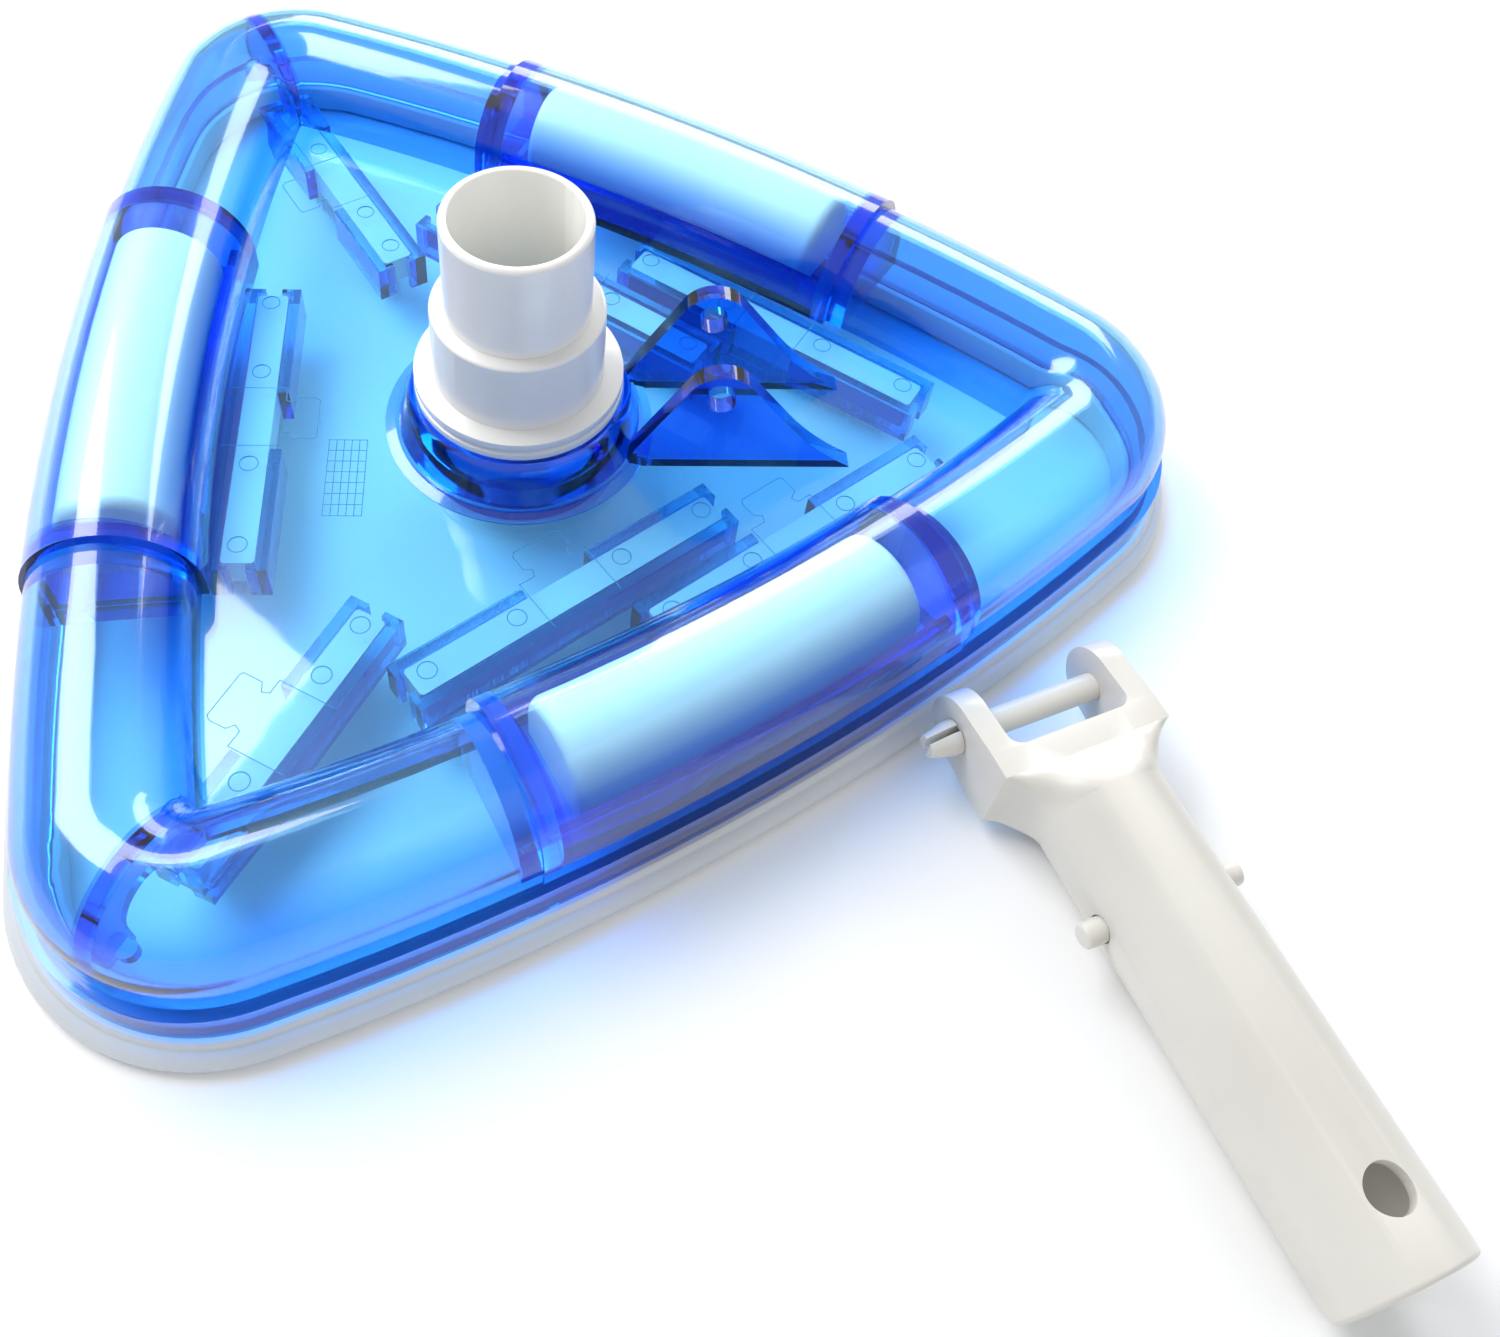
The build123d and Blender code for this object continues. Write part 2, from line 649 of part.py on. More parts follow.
# Brush strips: a back clipped into each channel, with its bristles
for channel in CHANNELS:
    name = channel[0]
    centre, turn, half = channel_place(channel)[:3]
    with BuildPart() as back:
        with BuildSketch(channel_plane(centre[0], centre[1], turn, BACK_LOW_Z)):
            Rectangle(2 * (half - BACK_END), 2 * BACK_HALF_W)
        extrude(amount=BACK_TOP_Z - BACK_LOW_Z)
        chamfer(back.edges().filter_by(Axis.Z), BACK_CHAMFER)
    back.part.label = "brush_back_" + name
    export_step(back.part, "parts/brush_back_" + name + ".step")
    with BuildPart() as bristles:
        with BuildSketch(channel_plane(centre[0], centre[1], turn, 0)):
            Rectangle(2 * (half - BRISTLE_END), 2 * BRISTLE_HALF_W)
        extrude(amount=BACK_LOW_Z)
    bristles.part.label = "bristles_" + name
    export_step(bristles.part, "parts/bristles_" + name + ".step")

# Hose spigot: two cuff sizes, a double-lipped flange and a barrel that turns in the collar
with BuildPart() as hose_spigot:
    with BuildSketch(Plane.XZ):
        with BuildLine():
            Polyline(
                (BORE_R, SPIGOT_TOP_Z),
                (SPIGOT_TOP_R, SPIGOT_TOP_Z),
                (SPIGOT_TOP_R, SPIGOT_STEP_Z),
                (SPIGOT_R, SPIGOT_STEP_Z),
                (SPIGOT_R, FLANGE_TOP_Z),
                (FLANGE_UPPER_R, FLANGE_TOP_Z),
                (FLANGE_UPPER_R, GROOVE_TOP_Z + GROOVE_SLOPE),
                (FLANGE_GROOVE_R, GROOVE_TOP_Z),
                (FLANGE_GROOVE_R, GROOVE_LOW_Z),
                (FLANGE_R, GROOVE_LOW_Z - GROOVE_SLOPE),
                (FLANGE_R, FLANGE_UNDER_Z + FLANGE_CHAMFER),
                (FLANGE_R - FLANGE_CHAMFER, FLANGE_UNDER_Z),
                (SPIGOT_R, FLANGE_UNDER_Z),
                (SPIGOT_R, CLIP_TOP_Z + CLIP_CLEAR),
                (CLIP_GROOVE_R, CLIP_TOP_Z + CLIP_CLEAR),
                (CLIP_GROOVE_R, CLIP_LOW_Z - CLIP_CLEAR),
                (SPIGOT_R, CLIP_LOW_Z - CLIP_CLEAR),
                (SPIGOT_R, SPIGOT_LOW_Z),
                (LOWER_BORE_R, SPIGOT_LOW_Z),
                (LOWER_BORE_R, BORE_STEP_Z),
                (BORE_R, BORE_STEP_Z),
                close=True,
            )
        make_face()
    revolve(axis=Axis.Z)
    rims = hose_spigot.edges().filter_by(GeomType.CIRCLE).group_by(Axis.Z)[-1]
    outer_rim = rims.sort_by(SortBy.RADIUS)[-1]
    inner_rim = rims.sort_by(SortBy.RADIUS)[0]
    fillet(outer_rim, SPIGOT_RIM_ROUND)
    fillet(inner_rim, BORE_RIM_ROUND)
    step_edges = [
        edge
        for edge in hose_spigot.edges().filter_by(GeomType.CIRCLE)
        if abs(edge.center().Z - SPIGOT_STEP_Z) < 0.01
    ]
    fillet(max(step_edges, key=lambda edge: edge.radius), STEP_ROUND)
hose_spigot.part.label = "hose_spigot"
export_step(hose_spigot.part, "parts/hose_spigot.step")

with BuildPart() as retaining_ring:
    with BuildSketch(Plane.XY.offset(CLIP_LOW_Z)):
        Circle(CLIP_R)
        Circle(CLIP_GROOVE_R + CLIP_CLEAR / 2, mode=Mode.SUBTRACT)
    extrude(amount=CLIP_TOP_Z - CLIP_LOW_Z)
    chamfer(retaining_ring.edges().filter_by(GeomType.CIRCLE).sort_by(SortBy.RADIUS)[-2:], CLIP_CHAMFER)
retaining_ring.part.label = "swivel_retaining_ring"
export_step(retaining_ring.part, "parts/swivel_retaining_ring.step")

with BuildPart() as washer:
    with BuildSketch(Plane.XY.offset(COLLAR_TOP_Z + WASHER_GAP)):
        Circle(WASHER_R)
        Circle(SPIGOT_R + WASHER_CLEAR, mode=Mode.SUBTRACT)
    extrude(amount=WASHER_T)
washer.part.label = "swivel_washer"
export_step(washer.part, "parts/swivel_washer.step")

# Handle frame: u along the tube, v along the pivot pin, w up
turn = math.radians(HANDLE_TURN)
U = Vector(math.cos(turn), math.sin(turn), 0)
V = Vector(-math.sin(turn), math.cos(turn), 0)
W = Vector(0, 0, 1)
PIVOT = Vector(HANDLE_X, HANDLE_Y, TUBE_R)


def flat_plane(height):
    """Local x along the tube, local y along the pin."""
    return Plane(origin=PIVOT + W * height, x_dir=U, z_dir=W)


def cross_plane(distance):
    """Across the tube: local x along the pin, local y up."""
    return Plane(origin=PIVOT + U * distance, x_dir=V, z_dir=U)


def side_plane(offset_v):
    """Seen from the side: local x along the tube, local y up. Extrudes towards +V."""
    return Plane(origin=PIVOT + V * offset_v, x_dir=U, z_dir=V * -1)


def neck_section(distance, half_w, half_h, corner):
    """Rounded rectangle across the tube."""
    with BuildSketch(cross_plane(distance)) as section:
        RectangleRounded(2 * half_w, 2 * half_h, corner)
    return section.sketch


def neck_end(distance):
    """The tube's circle in eight arcs that match the eight edges of a rounded rectangle."""
    flat_deg = 90.0 - NECK_CORNER_DEG
    with BuildSketch(cross_plane(distance)) as section:
        with BuildLine():
            for quarter in range(4):
                CenterArc((0, 0), TUBE_R, quarter * 90 - flat_deg / 2, flat_deg)
                CenterArc((0, 0), TUBE_R, quarter * 90 + flat_deg / 2, NECK_CORNER_DEG)
        make_face()
    return section.sketch


with BuildPart() as handle:
    # fork: a square block with the gap cut out of it
    with BuildSketch(side_plane(FORK_HALF_W)) as cheek:
        with BuildLine():
            Polyline(
                (0, -FORK_TIP_R), (CROTCH_X, -FORK_HALF_H), (SHOULDER_X, -FORK_HALF_H),
                (SHOULDER_X, FORK_HALF_H), (CROTCH_X, FORK_HALF_H), (0, FORK_TIP_R),
            )
            ThreePointArc((0, FORK_TIP_R), (-FORK_TIP_R, 0), (0, -FORK_TIP_R))
        make_face()
    extrude(cheek.sketch, amount=2 * FORK_HALF_W)
    with BuildSketch(flat_plane(-FORK_HALF_H - 1.0)) as gap:
        with Locations((CROTCH_X - GAP_LENGTH / 2, 0)):
            RectangleRounded(GAP_LENGTH, 2 * FORK_GAP_HALF, GAP_CORNER_R)
    extrude(gap.sketch, amount=2 * FORK_HALF_H + 2.0, mode=Mode.SUBTRACT)
    # neck: the shoulders flare in to the round tube
    loft(
        [
            neck_section(SHOULDER_X, FORK_HALF_W, FORK_HALF_H, NECK_EDGE_R),
            *[neck_section(*step) for step in NECK_STEPS],
            neck_end(TUBE_START),
        ]
    )
    with BuildSketch(cross_plane(TUBE_START)) as tube:
        Circle(TUBE_R)
    extrude(tube.sketch, amount=TUBE_END - TUBE_START)
    far_rim = handle.edges().filter_by(GeomType.CIRCLE)
    fillet(max(far_rim, key=lambda edge: (edge.center() - PIVOT).dot(U)), TUBE_RIM_ROUND)
    with BuildSketch(cross_plane(BORE_START)) as bore:
        Circle(TUBE_BORE_R)
    extrude(bore.sketch, amount=TUBE_END - BORE_START + 1.0, mode=Mode.SUBTRACT)
    with BuildSketch(side_plane(0)) as cross_holes:
        Circle(PIVOT_HOLE_R)
        with Locations((BUTTON_X, 0)):
            Circle(BUTTON_HOLE_R)
    extrude(cross_holes.sketch, amount=FORK_HALF_W + 1.0, both=True, mode=Mode.SUBTRACT)
    with BuildSketch(flat_plane(0)) as lock_hole:
        with Locations((LOCK_HOLE_X, 0)):
            Circle(LOCK_HOLE_R)
    extrude(lock_hole.sketch, amount=TUBE_R + 1.0, both=True, mode=Mode.SUBTRACT)
handle.part.label = "handle"
export_step(handle.part, "parts/handle.step")

# Pivot pin: flat head on one side, split barbed end on the other
pin_in = FORK_HALF_W + PIN_END_GAP
with BuildPart() as pivot_pin:
    with BuildSketch(flat_plane(0)) as profile:
        with BuildLine():
            Polyline(
                (0, pin_in + PIN_HEAD_T),
                (PIN_HEAD_R - PIN_HEAD_CHAMFER, pin_in + PIN_HEAD_T),
                (PIN_HEAD_R, pin_in + PIN_HEAD_T - PIN_HEAD_CHAMFER),
                (PIN_HEAD_R, pin_in),
                (PIVOT_PIN_R, pin_in),
                (PIVOT_PIN_R, -pin_in),
                (PIVOT_PIN_R + PIN_BARB, -pin_in),
                (PIVOT_PIN_R + PIN_BARB, -pin_in - PIN_BARB_EDGE),
                (PIN_TIP_R, -pin_in - PIN_BARB_LEN),
                (0, -pin_in - PIN_BARB_LEN),
                close=True,
            )
        make_face()
    revolve(profile.sketch, axis=Axis(PIVOT, V))
    with BuildSketch(flat_plane(0)) as slot:
        with Locations((0, -pin_in - PIN_SLOT_W)):
            Rectangle(PIN_SLOT_W, 2 * PIN_BARB_LEN)
    extrude(slot.sketch, amount=PIN_HEAD_R, both=True, mode=Mode.SUBTRACT)
pivot_pin.part.label = "pivot_pin"
export_step(pivot_pin.part, "parts/pivot_pin.step")

# Spring clip: a bow, two legs that bend inward, and a snap button on each leg
with BuildPart() as clip_bow:
    with BuildSketch(flat_plane(-STRIP_HALF_H)) as bow:
        with Locations((BOW_X, 0)):
            Circle(BOW_R)
            Circle(BOW_R - STRIP_T, mode=Mode.SUBTRACT)
            with Locations((BOW_R, 0)):
                Rectangle(2 * BOW_R, 2 * BOW_R + 1.0, mode=Mode.SUBTRACT)
    extrude(bow.sketch, amount=2 * STRIP_HALF_H)
clip_bow.part.label = "clip_bow"
export_step(clip_bow.part, "parts/clip_bow.step")

for side_name, sign in (("right", 1), ("left", -1)):
    with BuildPart() as clip_leg:
        with BuildSketch(flat_plane(-STRIP_HALF_H)) as strip:
            with BuildLine():
                Polyline(
                    (LEG_START_X, sign * (BOW_R - STRIP_T)),
                    (LEG_END_X, sign * (LEG_SPREAD - STRIP_T)),
                    (LEG_END_X, sign * LEG_SPREAD),
                    (LEG_START_X, sign * BOW_R),
                    close=True,
                )
            make_face()
        extrude(strip.sketch, amount=2 * STRIP_HALF_H)
    clip_leg.part.label = "clip_leg_" + side_name
    export_step(clip_leg.part, "parts/clip_leg_" + side_name + ".step")

    with BuildPart() as snap_button:
        with BuildSketch(side_plane(sign * BUTTON_BASE)) as button:
            with Locations((BUTTON_X, 0)):
                Circle(BUTTON_R)
        extrude(button.sketch, amount=-sign * (BUTTON_TIP - BUTTON_BASE))
        tips = snap_button.edges().filter_by(GeomType.CIRCLE)
        fillet(max(tips, key=lambda edge: abs((edge.center() - PIVOT).dot(V))), BUTTON_ROUND)
    snap_button.part.label = "snap_button_" + side_name
    export_step(snap_button.part, "parts/snap_button_" + side_name + ".step")
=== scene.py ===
import json
import math
import random

import bpy
import numpy as np
from mathutils import Matrix, Vector


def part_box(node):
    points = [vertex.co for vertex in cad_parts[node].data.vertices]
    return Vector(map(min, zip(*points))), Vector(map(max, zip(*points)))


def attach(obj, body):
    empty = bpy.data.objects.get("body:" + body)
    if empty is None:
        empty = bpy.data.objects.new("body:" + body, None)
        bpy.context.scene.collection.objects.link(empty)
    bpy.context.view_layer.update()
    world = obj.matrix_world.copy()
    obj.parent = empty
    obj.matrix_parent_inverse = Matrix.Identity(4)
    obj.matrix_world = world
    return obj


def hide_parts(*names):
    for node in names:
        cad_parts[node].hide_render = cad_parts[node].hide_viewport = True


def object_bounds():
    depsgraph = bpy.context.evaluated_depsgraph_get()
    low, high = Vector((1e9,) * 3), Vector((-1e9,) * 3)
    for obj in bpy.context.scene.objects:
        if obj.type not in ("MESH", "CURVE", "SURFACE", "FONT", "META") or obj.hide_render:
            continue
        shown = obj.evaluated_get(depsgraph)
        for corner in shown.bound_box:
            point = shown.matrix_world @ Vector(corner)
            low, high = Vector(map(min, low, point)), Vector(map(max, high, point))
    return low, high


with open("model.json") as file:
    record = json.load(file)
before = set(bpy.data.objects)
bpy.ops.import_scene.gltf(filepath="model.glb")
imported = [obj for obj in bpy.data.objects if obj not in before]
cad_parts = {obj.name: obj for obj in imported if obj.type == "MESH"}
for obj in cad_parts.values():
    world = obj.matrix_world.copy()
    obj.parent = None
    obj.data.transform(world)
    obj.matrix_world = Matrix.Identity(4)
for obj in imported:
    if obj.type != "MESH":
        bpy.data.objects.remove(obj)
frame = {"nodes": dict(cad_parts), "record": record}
cad_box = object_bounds()
nodes = frame["nodes"]
MM = 0.001

# ---------------------------------------------------------------- camera
CAMERA_PLACE = Vector((4.3, -226.0, 283.1)) * MM
CAMERA_AZIMUTH = math.radians(-8.434)     # turned from +Y
CAMERA_DIP = math.radians(55.654)         # below level
CAMERA_ROLL = math.radians(6.917)
CAMERA_LENS = 35.2
CAMERA_SENSOR = 36.0
CAMERA_SHIFT = (0.0598, -0.0531)
CAMERA_CLIP = 0.01


def make_camera():
    look = Vector(
        (
            -math.sin(CAMERA_AZIMUTH) * math.cos(CAMERA_DIP),
            math.cos(CAMERA_AZIMUTH) * math.cos(CAMERA_DIP),
            -math.sin(CAMERA_DIP),
        )
    )
    level = look.cross(Vector((0, 0, 1))).normalized()
    over = level.cross(look)
    right = math.cos(CAMERA_ROLL) * level + math.sin(CAMERA_ROLL) * over
    up = -math.sin(CAMERA_ROLL) * level + math.cos(CAMERA_ROLL) * over
    data = bpy.data.cameras.new("camera")
    data.lens = CAMERA_LENS
    data.sensor_width = CAMERA_SENSOR
    data.shift_x, data.shift_y = CAMERA_SHIFT
    data.clip_start = CAMERA_CLIP
    camera = bpy.data.objects.new("camera", data)
    turn = Matrix((right, up, -look)).transposed().to_4x4()
    camera.matrix_world = Matrix.Translation(CAMERA_PLACE) @ turn
    bpy.context.scene.collection.objects.link(camera)
    bpy.context.scene.camera = camera


# ---------------------------------------------------------------- shader nodes
def new_material(name):
    mat = bpy.data.materials.new(name)
    mat.use_nodes = True
    return mat, mat.node_tree.nodes["Principled BSDF"]


def noise(mat, scale, detail=3.0):
    """Noise in object space; scale is in features per metre."""
    tree = mat.node_tree
    place = tree.nodes.new("ShaderNodeTexCoord")
    tex = tree.nodes.new("ShaderNodeTexNoise")
    tex.inputs["Scale"].default_value = scale
    tex.inputs["Detail"].default_value = detail
    tree.links.new(place.outputs["Object"], tex.inputs["Vector"])
    return tex.outputs["Fac"]


def ramp(mat, factor, low, high):
    """Colour ramp between two stops; each stop is (position, colour)."""
    node = mat.node_tree.nodes.new("ShaderNodeValToRGB")
    for element, (position, colour) in zip(node.color_ramp.elements, (low, high)):
        element.position = position
        element.color = (*colour, 1.0)
    mat.node_tree.links.new(factor, node.inputs["Fac"])
    return node.outputs["Color"]


def span(mat, value, low, high, start=0.0, stop=1.0):
    """Maps start to stop onto low to high."""
    node = mat.node_tree.nodes.new("ShaderNodeMapRange")
    node.inputs["From Min"].default_value = start
    node.inputs["From Max"].default_value = stop
    node.inputs["To Min"].default_value = low
    node.inputs["To Max"].default_value = high
    mat.node_tree.links.new(value, node.inputs["Value"])
    return node.outputs["Result"]


def bump(mat, shader, height, distance, strength):
    node = mat.node_tree.nodes.new("ShaderNodeBump")
    node.inputs["Strength"].default_value = strength
    node.inputs["Distance"].default_value = distance
    mat.node_tree.links.new(height, node.inputs["Height"])
    mat.node_tree.links.new(node.outputs["Normal"], shader.inputs["Normal"])


def blend(mat, factor, a, b):
    """Mix of two colours; each is a socket or a constant."""
    node = mat.node_tree.nodes.new("ShaderNodeMix")
    node.data_type = "RGBA"
    mat.node_tree.links.new(factor, node.inputs["Factor"])
    for name, value in (("A", a), ("B", b)):
        if isinstance(value, tuple):
            node.inputs[name].default_value = (*value, 1.0)
        else:
            mat.node_tree.links.new(value, node.inputs[name])
    return node.outputs["Result"]


def calc(mat, kind, a, b=0.0):
    """Math node; a and b are sockets or numbers."""
    node = mat.node_tree.nodes.new("ShaderNodeMath")
    node.operation = kind
    for socket, value in zip(node.inputs, (a, b)):
        if isinstance(value, (int, float)):
            socket.default_value = value
        else:
            mat.node_tree.links.new(value, socket)
    return node.outputs[0]


# ---------------------------------------------------------------- masks: 1 inside, 0 outside
def all_of(mat, first, *others):
    for mask in others:
        first = calc(mat, "MULTIPLY", first, mask)
    return first


def any_of(mat, first, *others):
    for mask in others:
        first = calc(mat, "MAXIMUM", first, mask)
    return first


def between(mat, value, low, high):
    above = calc(mat, "GREATER_THAN", value, low)
    return all_of(mat, above, calc(mat, "LESS_THAN", value, high))


def object_xyz(mat):
    place = mat.node_tree.nodes.new("ShaderNodeTexCoord")
    split = mat.node_tree.nodes.new("ShaderNodeSeparateXYZ")
    mat.node_tree.links.new(place.outputs["Object"], split.inputs[0])
    return split.outputs


def axis_distance(mat, x, y):
    """Distance from the hose axis."""
    squares = calc(mat, "ADD", calc(mat, "MULTIPLY", x, x), calc(mat, "MULTIPLY", y, y))
    return calc(mat, "SQRT", squares)


def seen_along(mat, x, y, degrees):
    """How far a place lies out along a level direction, and how far to either side of it."""
    c, s = math.cos(math.radians(degrees)), math.sin(math.radians(degrees))
    out = calc(mat, "ADD", calc(mat, "MULTIPLY", x, c), calc(mat, "MULTIPLY", y, s))
    aside = calc(mat, "SUBTRACT", calc(mat, "MULTIPLY", y, c), calc(mat, "MULTIPLY", x, s))
    return out, calc(mat, "ABSOLUTE", aside)


# ---------------------------------------------------------------- tint of the clear shell, with painted sheen and painted shade
# Where the shell's thick parts are, in metres, and the directions of its sides and ribs, in degrees
PLATE_TOP = 0.0203
COLLAR_REACH = 0.0312
EAR_SPAN = (0.02, 0.077)
EAR_OUT = 0.0145
SIDE_NORMALS = (60.0, 180.0, 300.0)
CHAMBER_INNER = 0.062
END_WALL = (0.0464, 0.0512)
RIB_CORNERS = (120.0, 240.0)
RIB_HALF = 0.0019
RIB_START = 0.116

# Upright share of the surface normal at which a wall starts to count as steep, and fully does
STEEP_FROM, STEEP_TO = 0.9, 0.45

# Tint at each surface that light crosses
# Pale tint over the arches above the weights: painted sheen, standing in for the soft white reflection on
# their crests
PAINTED_SHEEN_TINT = (0.955, 0.96, 0.965)
SHEET_TINT = (0.52, 0.81, 0.93)
# Deeper tint on steep walls: painted shade, standing in for light's longer slant path through them; the
# weight trays take this tint all over
STEEP_TINT = (0.08, 0.40, 0.97)
# Deepest tint on thick parts: partly the thicker plastic's own deeper blue, partly painted shade
DEEP_TINT = (0.01, 0.24, 0.94)


def side_parts(mat, x, y, above):
    """Two masks over the three sides: arches above the weights, which take the painted sheen, and end walls
    of their chambers.
    """
    arches, ends = [], []
    for normal in SIDE_NORMALS:
        out, along = seen_along(mat, x, y, normal)
        rim = all_of(mat, above, calc(mat, "GREATER_THAN", out, CHAMBER_INNER))
        arches.append(all_of(mat, rim, calc(mat, "LESS_THAN", along, END_WALL[0])))
        ends.append(all_of(mat, rim, between(mat, along, *END_WALL)))
    return any_of(mat, *arches), any_of(mat, *ends)


def corner_ribs(mat, x, y):
    """Mask over the two ribs that stand across the rim at its corners."""
    ribs = []
    for corner in RIB_CORNERS:
        out, aside = seen_along(mat, x, y, corner)
        near = calc(mat, "LESS_THAN", aside, RIB_HALF)
        ribs.append(all_of(mat, near, calc(mat, "GREATER_THAN", out, RIB_START)))
    return any_of(mat, *ribs)


def steepness(mat):
    """0 on level surfaces, rising to 1 on steep walls; it places the painted shade."""
    face = mat.node_tree.nodes.new("ShaderNodeNewGeometry")
    split = mat.node_tree.nodes.new("ShaderNodeSeparateXYZ")
    mat.node_tree.links.new(face.outputs["Normal"], split.inputs[0])
    upright = calc(mat, "ABSOLUTE", split.outputs[2])
    return span(mat, upright, 0.0, 1.0, STEEP_FROM, STEEP_TO)


def shell_tint(mat):
    """Pale painted sheen over the weights, blue elsewhere, deeper painted shade on steep walls, and deepest
    on thick parts, partly their own colour and partly painted shade.
    """
    x, y, z = object_xyz(mat)
    above = calc(mat, "GREATER_THAN", z, PLATE_TOP)
    collar = calc(mat, "LESS_THAN", axis_distance(mat, x, y), COLLAR_REACH)
    near = calc(mat, "LESS_THAN", calc(mat, "ABSOLUTE", y), EAR_OUT)
    ears = all_of(mat, near, between(mat, x, *EAR_SPAN))
    arches, ends = side_parts(mat, x, y, above)
    standing = any_of(mat, collar, ears, corner_ribs(mat, x, y))
    thick = any_of(mat, all_of(mat, above, standing), ends)
    colour = blend(mat, arches, SHEET_TINT, PAINTED_SHEEN_TINT)
    colour = blend(mat, steepness(mat), colour, STEEP_TINT)
    return blend(mat, thick, colour, DEEP_TINT)


# ---------------------------------------------------------------- materials
PLASTIC_IOR = 1.5

# Clear plastic: a soft sheen over clear glass, faint haze and waves, and a tint for passing lamps
SHEEN, SHEEN_ROUGHNESS = 0.6, 0.18
CLEAR_ROUGHNESS = (0.018, 0.048)
SMEAR_SCALE = 60.0
HAZE, HAZE_SCALE = 0.08, 900.0
HAZE_COLOUR = (1.0, 1.0, 1.0)
WAVE_SCALE, WAVE_DEPTH, WAVE_STRENGTH = 45.0, 0.0004, 0.12
LAMP_TINT = (0.80, 0.94, 0.99)

# Moulded plastic: colour drift, uneven gloss and orange-peel
DRIFT_SCALE, DRIFT_STOPS = 35.0, (0.25, 0.75)
GLOSS_SCALE, GLOSS_SHARES = 160.0, (0.8, 1.25)
PEEL_DEPTH, PEEL_STRENGTH = 0.00005, 0.25
COAT_ROUGHNESS = 0.08
UNDER_RADIUS = (0.004, 0.004, 0.0035)

SPIGOT_BORE = 0.0148
# Brighter white inside the bore: painted light against the shade there
BORE_PAINTED_LIGHT = (0.97, 0.96, 0.91)

LINE_DEEP, LINE_PALE = (0.05, 0.28, 0.55), (0.09, 0.36, 0.64)
LINE_STOPS, LINE_GRAIN = (0.3, 0.7), 500.0
LINE_ROUGHNESS = 0.25


def clear_surface(mat, shader, surface):
    """Sheen, haze and waves of the clear plastic, over its tint."""
    tree = mat.node_tree
    shader.inputs["Transmission Weight"].default_value = 1.0
    shader.inputs["IOR"].default_value = PLASTIC_IOR
    shader.inputs["Coat Weight"].default_value = SHEEN
    shader.inputs["Coat Roughness"].default_value = SHEEN_ROUGHNESS
    haze = span(mat, noise(mat, HAZE_SCALE, detail=4.0), 0.0, HAZE)
    tree.links.new(blend(mat, haze, surface, HAZE_COLOUR), shader.inputs["Base Color"])
    smear = span(mat, noise(mat, SMEAR_SCALE), *CLEAR_ROUGHNESS)
    tree.links.new(smear, shader.inputs["Roughness"])
    bump(mat, shader, noise(mat, WAVE_SCALE, detail=2.0), WAVE_DEPTH, WAVE_STRENGTH)


def clear_blue(name, tint, density, surface=None):
    """Clear plastic that absorbs through its thickness, is tinted at its surface and lets lamps through."""
    mat, shader = new_material(name)
    tree = mat.node_tree
    clear_surface(mat, shader, surface if surface else shell_tint(mat))
    path = tree.nodes.new("ShaderNodeLightPath")
    through = tree.nodes.new("ShaderNodeBsdfTransparent")
    through.inputs["Color"].default_value = (*LAMP_TINT, 1.0)
    mix = tree.nodes.new("ShaderNodeMixShader")
    out = tree.nodes["Material Output"]
    tree.links.new(path.outputs["Is Shadow Ray"], mix.inputs["Fac"])
    tree.links.new(shader.outputs[0], mix.inputs[1])
    tree.links.new(through.outputs[0], mix.inputs[2])
    tree.links.new(mix.outputs[0], out.inputs["Surface"])
    absorb = tree.nodes.new("ShaderNodeVolumeAbsorption")
    absorb.inputs["Color"].default_value = (*tint, 1.0)
    absorb.inputs["Density"].default_value = density
    tree.links.new(absorb.outputs["Volume"], out.inputs["Volume"])
    return mat


def moulded(name, colour, deep, roughness, coat=0.0, grain=700.0, under=0.0):
    """Opaque moulded plastic with faint colour drift, uneven gloss and orange-peel."""
    mat, shader = new_material(name)
    tree = mat.node_tree
    drift = noise(mat, DRIFT_SCALE, detail=5.0)
    shade = ramp(mat, drift, (DRIFT_STOPS[0], deep), (DRIFT_STOPS[1], colour))
    tree.links.new(shade, shader.inputs["Base Color"])
    low, high = (roughness * share for share in GLOSS_SHARES)
    gloss = span(mat, noise(mat, GLOSS_SCALE, detail=6.0), low, high)
    tree.links.new(gloss, shader.inputs["Roughness"])
    bump(mat, shader, noise(mat, grain, detail=2.0), PEEL_DEPTH, PEEL_STRENGTH)
    shader.inputs["IOR"].default_value = PLASTIC_IOR
    shader.inputs["Coat Weight"].default_value = coat
    shader.inputs["Coat Roughness"].default_value = COAT_ROUGHNESS
    if under:
        shader.inputs["Subsurface Weight"].default_value = under
        shader.inputs["Subsurface Radius"].default_value = UNDER_RADIUS
        shader.inputs["Subsurface Scale"].default_value = 1.0
    return mat


def paint_bore_light(mat):
    """Painted light: the spigot's inner wall is a brighter white than its outside, lifting the shade inside
    the bore.
    """
    shader = mat.node_tree.nodes["Principled BSDF"]
    outside = shader.inputs["Base Color"].links[0].from_socket
    x, y, _ = object_xyz(mat)
    inside = calc(mat, "LESS_THAN", axis_distance(mat, x, y), SPIGOT_BORE)
    mat.node_tree.links.new(blend(mat, inside, outside, BORE_PAINTED_LIGHT), shader.inputs["Base Color"])


def mould_line_blue():
    """Solid blue for the thin raised lines on the plate."""
    mat, shader = new_material("mould_line_blue")
    grain = noise(mat, LINE_GRAIN)
    shade = ramp(mat, grain, (LINE_STOPS[0], LINE_DEEP), (LINE_STOPS[1], LINE_PALE))
    mat.node_tree.links.new(shade, shader.inputs["Base Color"])
    shader.inputs["Roughness"].default_value = LINE_ROUGHNESS
    return mat


